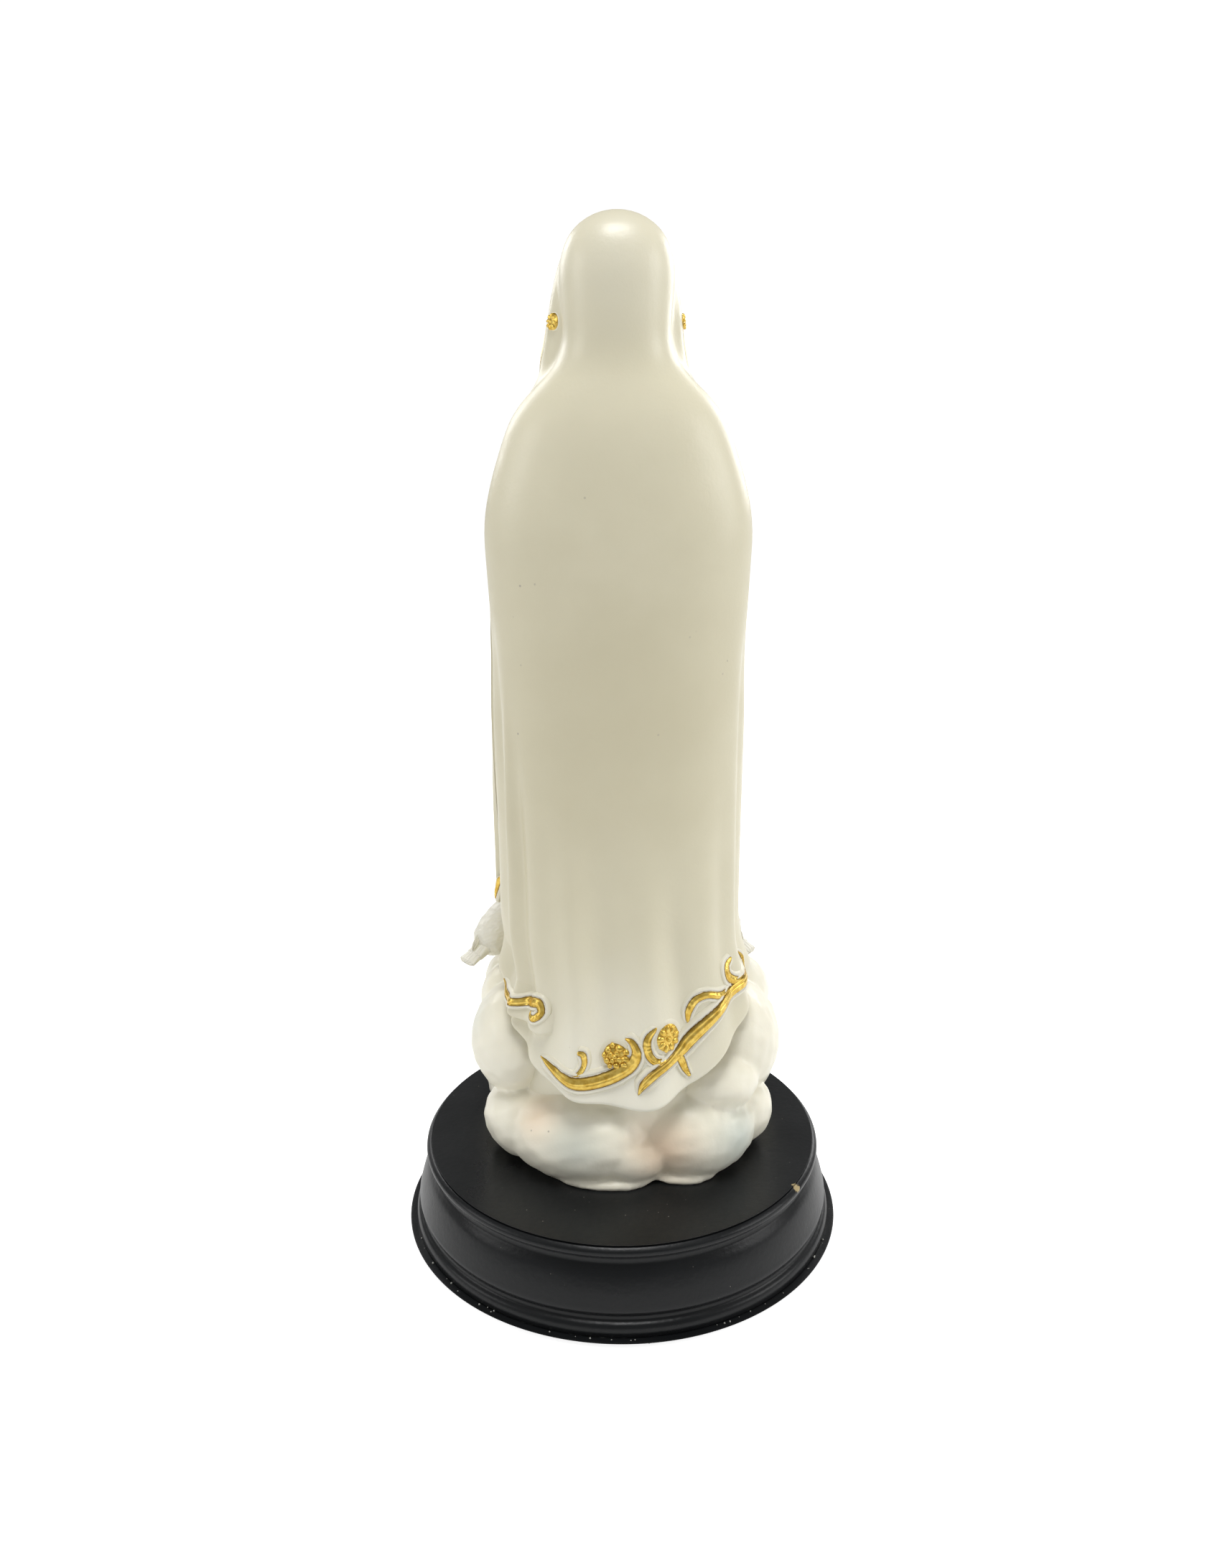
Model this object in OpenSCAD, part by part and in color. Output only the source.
// Standing madonna figure in cast resin, with two doves on a cloud, screwed to a round plinth.
// Millimetres, +Z up, origin at the centre of the resting face, and the figure faces -Y.

/* [Plinth] */
// Diameter of the plinth at its foot
plinth_d = 99; // [96:1:104]
// Height of the plinth without its pad
plinth_h = 19.6; // [18:0.2:22]
// Thickness of the pad glued under the plinth
pad_t = 1.2; // [0.8:0.1:2]

/* [Figure] */
// Height of the figure from the plinth to the crown of the veil
figure_h = 201.2; // [196:0.2:206]
// Thickness of the cast mantle
mantle_t = 2.2; // [1.8:0.1:2.6]
// Height of the raised gold ornament above the mantle
relief_t = 0.9; // [0.6:0.1:1.2]

/* [Fixings] */
// Distance between the two fixing screws
screw_pitch = 30; // [24:1:34]
// Length of a fixing screw under its head
screw_l = 22; // [18:1:26]
// Radius of a screw shank
screw_r = 1.75; // [1.5:0.05:2]

/* [Hidden] */
$fn = 64;

plinth_top = pad_t + plinth_h;
crown_z = plinth_top + figure_h;
robe_top = 193;
ivory = [0.90, 0.88, 0.80];
skin = [0.93, 0.80, 0.70];
gold = [0.72, 0.56, 0.18];
black = [0.06, 0.06, 0.06];
steel = [0.62, 0.62, 0.62];

// Half width, back depth and front depth of the draped figure, by height.
half_w = [[36, 30], [48, 29.8], [60, 28.2], [72, 26.8], [90, 26.2], [113, 26.3], [134, 26.5], [150, 27.3],
    [161, 28.0], [166, 27.6], [172, 26.2], [179, 24.0], [184, 22.0], [188, 19.2], [191, 15.6],
    [194.5, 12.2], [199, 10.7], [205, 10.8], [211, 10.9], [215, 9.9], [218, 8.0], [220.4, 5.2], [crown_z, 0.6]];
back_d = [[36, 26], [48, 24.6], [60, 22.4], [72, 20.6], [90, 18.8], [113, 17.4], [134, 17.2], [150, 17.4],
    [161, 17.6], [172, 17.0], [179, 16.2], [184, 15.2], [188, 13.8], [191, 12.6], [194.5, 11.4],
    [199, 10.9], [205, 11.6], [211, 11.6], [215, 10.4], [218, 8.2], [220.4, 5.2], [crown_z, 0.6]];
front_d = [[36, 22], [48, 21], [60, 20], [72, 19], [90, 18], [113, 17.6], [134, 18.4], [150, 20.0],
    [161, 20.6], [172, 19.2], [179, 17.4], [184, 15.8], [188, 14.2], [191, 13.2], [194.5, 12.4],
    [199, 11.6], [205, 11.4], [211, 11.2], [215, 10.0], [218, 8.0], [220.4, 5.2], [crown_z, 0.6]];
// Height of the mantle's hem round the figure: 0 degrees is the back, and 90 is its left side.
hem_z = [[-180, 60], [-135, 68], [-90, 60], [-60, 46.5], [-30, 40], [0, 38.2], [20, 41], [45, 50],
    [70, 60], [90, 65], [135, 68], [180, 60]];
// Half width of the opening in the mantle's front, from the hem to the brow.
open_x = [[60, 13.4], [80, 12.6], [120, 11.6], [146, 11], [156, 16.6], [168, 16.6], [178, 12], [190, 8.4],
    [200, 8.2], [208, 7.6], [213, 5.6], [216, 2.6], [217.4, 0]];
// Height of the cloud's rim against the drapery.
rim_z = [[-180, 58], [-135, 60], [-90, 58], [-60, 45.5], [-30, 39], [0, 37.4], [20, 40], [45, 49],
    [70, 57], [90, 60], [135, 60], [180, 58]];
// How far the cloud swells out from the drapery on its way up: [fraction of the height, share].
cloud_swell = [[0, 0.86], [0.1, 0.97], [0.24, 1.0], [0.42, 0.94], [0.56, 1.0], [0.7, 0.94], [0.82, 0.76],
    [0.92, 0.48], [0.98, 0.22], [1, 0.06]];
cloud_centre = [-2, -5];
socket_z = 34;

function soft(z, t) = (lookup(z - 1.5, t) + 2 * lookup(z, t) + lookup(z + 1.5, t)) / 4;
function bend(v, e) = sign(v) * pow(abs(v), e);
function depth(a, z) = cos(a) > 0 ? soft(z, back_d) : soft(z, front_d);
function skin_point(a, z, t = 0) = [
    max(0.3, soft(z, half_w) - t) * bend(sin(a), 0.88),
    max(0.3, depth(a, z) - t) * bend(cos(a), 0.88),
    z];
function hem(a) = lookup(a > 180 ? a - 360 : a, hem_z);
function unit(v) = v / norm(v);
// Points threaded through a path with k steps between each pair.
function knot(p, i) = p[max(0, min(len(p) - 1, i))];
function fine(p, k) = concat([for (i = [0:len(p) - 2], j = [0:k - 1])
    let(s = j / k, a = knot(p, i - 1), b = p[i], c = p[i + 1], d = knot(p, i + 2))
    0.5 * (2 * b + (c - a) * s + (2 * a - 5 * b + 4 * c - d) * s * s + (3 * b - a - 3 * c + d) * s * s * s)],
    [p[len(p) - 1]]);

// A closed solid through rings of equal count, with each end closed onto its own centre.
module loft(rings, foot, peak) {
    n = len(rings[0]);
    m = len(rings);
    points = concat([for (r = rings) each r], [foot, peak]);
    sides = [for (i = [0:m - 2], j = [0:n - 1]) let(k = (j + 1) % n, a = i * n, b = a + n)
        each [[a + j, b + j, b + k], [a + j, b + k, a + k]]];
    ends = [for (j = [0:n - 1]) let(k = (j + 1) % n, b = (m - 1) * n)
        each [[j, k, m * n], [b + k, b + j, m * n + 1]]];
    polyhedron(points, concat(sides, ends), convexity = 8);
}

// A round limb along points given as [x, y, z, width, thickness], swept with k steps a span.
function heading(p, i) = let(a = knot(p, i - 1), b = knot(p, i + 1))
    unit([b[0] - a[0], b[1] - a[1], b[2] - a[2]]);
module limb(path, k = 3, n = 16, over = [0, 0, 1]) {
    p = fine(path, k);
    rings = [for (i = [0:len(p) - 1]) let(d = heading(p, i), v = unit(over - (over * d) * d), u = cross(v, d))
        [for (j = [0:n - 1]) let(t = j * 360 / n)
            [p[i][0], p[i][1], p[i][2]] + u * sin(t) * p[i][3] + v * cos(t) * p[i][4]]];
    a = p[0];
    b = p[len(p) - 1];
    loft(rings, [a[0], a[1], a[2]], [b[0], b[1], b[2]]);
}

// An open-fronted shell between an outer and an inner sheet of points; from a given row up it is closed.
module shell(outer, inner, shut, outer_peak, inner_peak) {
    m = len(outer);
    n = len(outer[0]);
    q = m * n;
    points = concat([for (r = outer) each r], [for (r = inner) each r], [outer_peak, inner_peak]);
    sheets = [for (i = [0:m - 2], j = [0:n - 2]) let(a = i * n + j, b = a + n)
        each [[a, b, b + 1], [a, b + 1, a + 1], [q + a, q + b + 1, q + b], [q + a, q + a + 1, q + b + 1]]];
    foot = [for (j = [0:n - 2]) each [[j, j + 1, q + j + 1], [j, q + j + 1, q + j]]];
    edges = [for (i = [0:shut - 1]) let(a = i * n, b = a + n, c = a + n - 1, d = c + n)
        each [[a, q + a, q + b], [a, q + b, b], [c, q + d, q + c], [c, d, q + d]]];
    peaks = [for (j = [0:n - 2]) let(a = (m - 1) * n + j)
        each [[a, 2 * q, a + 1], [q + a, q + a + 1, 2 * q + 1]]];
    polyhedron(points, concat(sheets, foot, edges, peaks), convexity = 10);
}

module plinth() {
    r = plinth_d / 2;
    h = plinth_h / 19.6;
    color(black) translate([0, 0, pad_t]) difference() {
        rotate_extrude($fn = 128) polygon([[0, 0], [r - 0.4, 0], [r, 0.8 * h], [r, 2.0 * h],
            [r - 0.7, 3.0 * h], [r - 1.4, 3.6 * h], [r - 1.5, 4.6 * h], [r - 0.9, 5.4 * h],
            [r - 0.8, 6.4 * h], [r - 1.5, 9.6 * h], [r - 2.5, 12.2 * h], [r - 3.8, 14.2 * h],
            [r - 4.4, 15.2 * h], [r - 4.5, 16.2 * h], [r - 4.0, 17.0 * h], [r - 3.0, 17.4 * h],
            [r - 2.9, 18.4 * h], [r - 3.4, 19.1 * h], [r - 4.3, 19.3 * h], [r - 4.4, plinth_h],
            [0, plinth_h]]);
        for (x = [-1, 1]) translate([x * screw_pitch / 2, -3, 0]) {
            translate([0, 0, -1]) cylinder(r = 4.6, h = 4.8);
            translate([0, 0, -1]) cylinder(r = screw_r + 0.25, h = plinth_h + 2);
        }
    }
}

module plinth_pad() {
    color([0.05, 0.06, 0.05]) cylinder(r = plinth_d / 2 + 0.3, h = pad_t, $fn = 128);
}

module fixing_screws() {
    head_z = pad_t + 3.0;
    color(steel) for (x = [-1, 1]) translate([x * screw_pitch / 2, -3, head_z]) {
        translate([0, 0, -2]) difference() {
            cylinder(r = 3.4, h = 2);
            translate([-0.5, -3.6, -1]) cube([1, 7.2, 1.8]);
        }
        cylinder(r = screw_r, h = screw_l - 4);
        translate([0, 0, screw_l - 4]) cylinder(r1 = screw_r, r2 = 0.2, h = 4);
    }
}

module fixing_washers() {
    color(steel) for (x = [-1, 1]) translate([x * screw_pitch / 2, -3, pad_t + 3.0]) difference() {
        cylinder(r = 4.4, h = 0.8);
        translate([0, 0, -1]) cylinder(r = screw_r + 0.1, h = 3);
    }
}

// Radius of the cloud at its fullest, which swells and narrows as its puffs go round.
function cloud_r(a) = 33.5 + 1.8 * cos(4 * a + 20) + 1.1 * cos(7 * a - 50) - 3.4 * pow(max(0, cos(a)), 2);
function cloud_point(a, f) = let(z = plinth_top + f * (lookup(a > 180 ? a - 360 : a, rim_z) - plinth_top),
    r = cloud_r(a) + 0.8 * sin(3 * a + f * 300), d = skin_point(a, max(z, 36), -0.3),
    w = lookup(f, cloud_swell))
    [d[0] + (cloud_centre[0] + r * sin(a) - d[0]) * w, d[1] + (cloud_centre[1] + r * cos(a) - d[1]) * w, z];
function socket_point(a, f) = skin_point(a, lookup(a > 180 ? a - 360 : a, rim_z) * (1 - f) + socket_z * f,
    -0.1);

module cloud() {
    n = 48;
    color(ivory) difference() {
        loft(concat([for (i = [0:18]) [for (j = [0:n - 1]) cloud_point(j * 360 / n, i / 18)]],
                [for (f = [0.04, 0.5, 1]) [for (j = [0:n - 1]) socket_point(j * 360 / n, f)]]),
            [0, 0, plinth_top], [0, 0, socket_z]);
        for (x = [-1, 1]) translate([x * screw_pitch / 2, -3, plinth_top - 1])
            cylinder(r = screw_r + 0.15, h = 8, $fn = 24);
    }
}

module robe() {
    low = socket_z + 0.02;
    color(ivory) loft([for (i = [0:24]) [for (j = [0:39])
        skin_point(j * 9, low + i / 24 * (robe_top - low), mantle_t + 0.1)]],
        [0, 0, low], [0, 0, robe_top + 0.02]);
}

function opening(z) = asin(min(1, pow(lookup(z, open_x) / soft(z, half_w), 1 / 0.88)));
function row(i, m) = lookup(i / m, [[0, 0], [0.4, 0.66], [0.6, 0.84], [0.85, 0.96], [1, 1]]);
function sheet(t, n, m) = [for (i = [0:m]) let(s = row(i, m), wide = 180 - opening(66 + s * (crown_z - 66)))
    [for (j = [0:n]) let(a = wide * (2 * j / n - 1)) skin_point(a, hem(a) + s * (crown_z - t - hem(a)), t)]];
module mantle() {
    m = 40;
    shut = [for (i = [0:m]) if (opening(66 + row(i, m) * (crown_z - 66)) > 0.01) i];
    color(ivory) shell(sheet(0, 44, m), sheet(mantle_t, 44, m), len(shut),
        [0, 0, crown_z + 0.1], [0, 0, crown_z - mantle_t + 0.1]);
}

// The head and neck, turned from one outline: [height above the robe, half width, half depth, forward shift].
head_outline = [[0, 4.4, 4.4, 0.4], [4, 4.3, 4.4, 0.2], [6, 4.5, 5.2, 0.8], [8, 5.3, 6.6, 1.2], [11, 6.2, 7.4, 1.2],
    [14, 6.8, 7.7, 1.0], [17, 6.6, 7.7, 0.8], [19.5, 5.6, 6.8, 0.6], [21.5, 3.9, 4.8, 0.4], [22.6, 1.6, 2.0, 0.2]];
function head_ring(p, grow, n) = [for (j = [0:n - 1]) let(a = j * 360 / n)
    [(p[1] + grow) * sin(a), (p[2] + grow) * cos(a) - p[3], robe_top + p[0]]];
module head_solid(grow, from) {
    q = [for (p = fine(head_outline, 2)) if (p[0] >= from) p];
    loft([for (p = q) head_ring(p, grow, 28)], [0, -q[0][3], robe_top + q[0][0]],
        [0, -0.2, robe_top + 22.8 + grow]);
}

module head() {
    color(skin) head_solid(0, 0);
}

// Hair under the veil: a cap of half the head's outline and a little more, open round the face.
hair_open = [[6, 46], [10, 40], [14, 38], [17, 34], [19.5, 24], [21, 12], [21.8, 0]];
function hair_sheet(grow) = [for (p = hair_rows) let(wide = 180 - lookup(p[0], hair_open))
    [for (j = [0:24]) let(a = wide * (j / 12 - 1))
        [(p[1] + grow) * sin(a), (p[2] + grow) * cos(a) - p[3], robe_top + p[0]]]];
hair_rows = [for (p = fine(head_outline, 2)) if (p[0] >= 6) p];
module hair() {
    shut = [for (p = hair_rows) if (lookup(p[0], hair_open) > 0.01) 1];
    color(ivory) shell(hair_sheet(1.1), hair_sheet(0.05), len(shut),
        [0, -0.2, robe_top + 23.8], [0, -0.2, robe_top + 22.85]);
}

// A forearm in its wide sleeve, from the elbow at the side to the wrist before the chest.
module sleeve(side) {
    color(ivory) limb([[side * 13.0, -20.4, 153.5, 2.4, 6.8], [side * 11.8, -21.8, 155.4, 2.9, 7.2],
        [side * 9.4, -23.6, 158.8, 3.0, 6.6], [side * 7.0, -24.8, 163.4, 3.0, 5.0],
        [side * 5.0, -25.4, 168.2, 3.0, 3.6]], 3, 20, [0, 0.2, 1]);
}
module left_sleeve() { sleeve(1); }
module right_sleeve() { sleeve(-1); }

// A flat hand held upright, its palm by the centre plane against the other.
module hand(side) {
    color(skin) limb([[side * 4.6, -25.5, 170.0, 1.5, 1.9], [side * 3.2, -25.8, 172.6, 1.3, 2.1],
        [side * 1.9, -26.2, 175.4, 1.1, 2.5], [side * 1.4, -26.6, 178.6, 1.0, 2.5],
        [side * 1.25, -27.0, 182.2, 0.9, 2.0], [side * 1.15, -27.4, 185.6, 0.6, 1.1]], 3, 16, [0, 1, 0.25]);
}
module left_hand() { hand(1); }
module right_hand() { hand(-1); }

// A gold band round the end of a sleeve, standing just clear of the cloth and of the wrist.
module cuff(side) {
    translate([side * 4.9, -25.4, 168.9]) rotate([6, side * -26, 0]) difference() {
        cylinder(r = 3.6, h = 0.9);
        translate([0, 0, -1]) cylinder(r = 2.5, h = 3);
    }
}
module left_cuff_trim() { color(gold) cuff(1); }
module right_cuff_trim() { color(gold) cuff(-1); }

// A bare foot, of which the toes show under the robe.
module foot(side) {
    limb([[side * 4.4, -20.6, 61.6, 2.2, 1.4], [side * 4.6, -22.6, 61.2, 2.6, 1.6],
        [side * 4.8, -25.4, 60.7, 2.7, 1.5],
        [side * 4.8, -27.6, 60.2, 2.1, 0.9]], 3, 16);
}
module left_foot() { color(skin) foot(1); }
module right_foot() { color(skin) foot(-1); }

// A dove on the cloud beside the robe, its head to the front and its tail to the side.
module dove(side) {
    color(ivory) limb([[side * 18.2, -34.6, 73.8, 0.4, 0.4], [side * 19.2, -33.6, 74.4, 1.0, 1.0],
        [side * 20.4, -32.4, 75.0, 2.6, 2.6], [side * 22.0, -30.4, 74.6, 3.2, 3.2],
        [side * 23.8, -27.2, 72.4, 3.8, 3.9], [side * 26.0, -23.6, 70.4, 4.4, 4.8],
        [side * 28.4, -19.8, 69.2, 4.2, 4.2], [side * 31.0, -16.0, 67.6, 3.2, 2.6],
        [side * 33.0, -12.4, 65.6, 2.6, 1.3], [side * 34.6, -9.0, 64.0, 2.8, 0.7]], 2, 18);
}
module left_dove() { dove(1); }
module right_dove() { dove(-1); }

// A folded wing lying along each flank of a dove.
module wing(side, out) {
    limb([[side * (23.6 + out * 3.6), -27.6 + out * 2.4, 73.2, 0.8, 1.6],
        [side * (26.0 + out * 4.5), -23.8 + out * 3.0, 72.0, 0.8, 2.6],
        [side * (28.6 + out * 4.2), -20.0 + out * 2.8, 70.8, 0.8, 2.3],
        [side * (31.2 + out * 3.2), -16.0 + out * 2.2, 69.4, 0.6, 1.4],
        [side * (33.0 + out * 2.4), -12.6 + out * 1.6, 68.2, 0.4, 0.6]], 2, 12);
}
module left_dove_wings() { color(ivory) { wing(1, -1); wing(1, 1); } }
module right_dove_wings() { color(ivory) { wing(-1, -1); wing(-1, 1); } }

// Three small toes under each side of a dove, standing on the cloud.
module dove_feet(side) {
    color(gold) for (out = [-1, 1]) limb([[side * 26.4 + out * 1.9, -23.6, 65.4, 0.5, 0.5],
        [side * 26.9 + out * 1.9, -24.0, 63.4, 0.5, 0.5], [side * 27.4 + out * 2.1, -25.4, 61.6, 0.7, 0.4],
        [side * 27.8 + out * 2.3, -26.8, 60.9, 0.4, 0.3]], 2, 10, [0, 0.3, 1]);
}
module left_dove_feet() { dove_feet(1); }
module right_dove_feet() { dove_feet(-1); }

// A gold ridge on the mantle, along points given as [angle round the figure, height, half width].
section = [[1, 0], [0.8, 0.6], [0.35, 1], [-0.35, 1], [-0.8, 0.6], [-1, 0]];
function degrees_per_mm(a, z) = 1 / max(0.05, norm(skin_point(a + 1, z) - skin_point(a - 1, z)) / 2);
module ridge(path, k = 4, t = 0) {
    p = fine(path, k);
    rings = [for (i = [0:len(p) - 1]) let(q = p[i], g = degrees_per_mm(q[0], q[1]),
        b = knot(p, i + 1), a = knot(p, i - 1), d = unit([(b[0] - a[0]) / g, b[1] - a[1]]))
        [for (c = section) skin_point(q[0] - d[1] * q[2] * c[0] * g, q[1] + d[0] * q[2] * c[0],
            t - 0.07 - min(relief_t, q[2]) * c[1])]];
    a = p[0];
    b = p[len(p) - 1];
    color(gold) loft(rings, skin_point(a[0], a[1], t - 0.1), skin_point(b[0], b[1], t - 0.1));
}
// A gold flower head: petals round a boss, standing off the mantle.
module rosette(a, z, r, t = 0) {
    g = degrees_per_mm(a, z);
    rings = [for (c = [[1, 0.08], [0.96, 0.6], [0.7, 0.95], [0.42, 0.6], [0.34, 1.05], [0.16, 1.35]])
        [for (j = [0:27]) let(q = j * 360 / 28, s = r * c[0] * (c[0] > 0.5 ? 1 + 0.12 * cos(7 * q) : 1))
            skin_point(a + s * cos(q) * g, z + s * sin(q), t - c[1])]];
    color(gold) loft(rings, skin_point(a, z, t - 0.08), skin_point(a, z, t - 1.4));
}

module hem_scroll_left() {
    ridge([[37, 50.8, 0.5], [29, 48.6, 0.7], [20, 47.2, 1.0], [10, 46.5, 1.3], [3, 47.2, 1.3],
        [-3, 50.4, 1.1], [-5, 53.2, 0.9], [-3, 56.0, 0.5]]);
}
module hem_scroll_right() {
    ridge([[-5, 44.0, 0.5], [-9, 48.0, 0.8], [-18, 50.8, 1.0], [-28, 55.0, 1.2], [-36, 58.0, 1.2],
        [-46, 60.6, 1.1], [-58, 62.6, 1.1], [-70, 63.4, 1.0], [-80, 64.4, 0.9], [-83, 67.0, 0.5]]);
}
module hem_curl_left() {
    ridge([[78, 65.0, 0.5], [66, 64.0, 0.7], [54, 63.6, 0.8], [44, 63.0, 0.8], [39, 61.0, 0.8], [42, 58.6, 0.5]]);
}
module hem_curl_right() {
    ridge([[-72, 67.0, 0.5], [-64, 66.8, 0.7], [-58, 67.8, 0.8], [-57, 70.2, 0.7], [-63, 71.8, 0.5]]);
}
module hem_rosette_left() { rosette(3, 51.8, 2.1); }
module hem_rosette_right() { rosette(-17.5, 56, 2.3); }
module veil_rosette_left() { rosette(122, 200, 2.0); }
module veil_rosette_right() { rosette(-122, 200, 2.0); }
module veil_trim(side) {
    ridge([[side * 136, 217.2, 0.4], [side * 126, 214.8, 0.5], [side * 121, 211, 0.5], [side * 118, 207.4, 0.5],
        [side * 117, 204.2, 0.5]], 3);
}
module veil_trim_left() { veil_trim(1); }
module veil_trim_right() { veil_trim(-1); }
module front_trim(side) {
    ridge([[side * 151, 145, 0.6], [side * 149, 132, 0.6], [side * 147.6, 118, 0.6], [side * 147, 104, 0.6],
        [side * 146, 90, 0.7], [side * 145, 80, 0.8], [side * 142, 74.6, 0.8], [side * 134, 72.6, 0.8]], 5);
}
module front_trim_left() { front_trim(1); }
module front_trim_right() { front_trim(-1); }

module collar_trim() {
    color(gold) translate([0, -0.4, robe_top + 0.05]) difference() {
        cylinder(r = 5.8, h = 0.9);
        translate([0, 0, -1]) cylinder(r = 4.5, h = 3);
    }
}

module robe_hem_trim() {
    ridge([[160, 66.2, 0.7], [170, 66.0, 0.7], [180, 65.9, 0.7], [190, 66.0, 0.7], [200, 66.2, 0.7]], 4, mantle_t);
}

plinth();
plinth_pad();
fixing_screws();
fixing_washers();
cloud();
robe();
mantle();
head();
hair();
left_sleeve();
right_sleeve();
left_hand();
right_hand();
left_foot();
right_foot();
left_dove();
right_dove();
left_dove_wings();
right_dove_wings();
left_dove_feet();
right_dove_feet();
hem_scroll_left();
hem_scroll_right();
hem_curl_left();
hem_curl_right();
hem_rosette_left();
hem_rosette_right();
veil_rosette_left();
veil_rosette_right();
veil_trim_left();
veil_trim_right();
front_trim_left();
front_trim_right();
collar_trim();
left_cuff_trim();
right_cuff_trim();
robe_hem_trim();
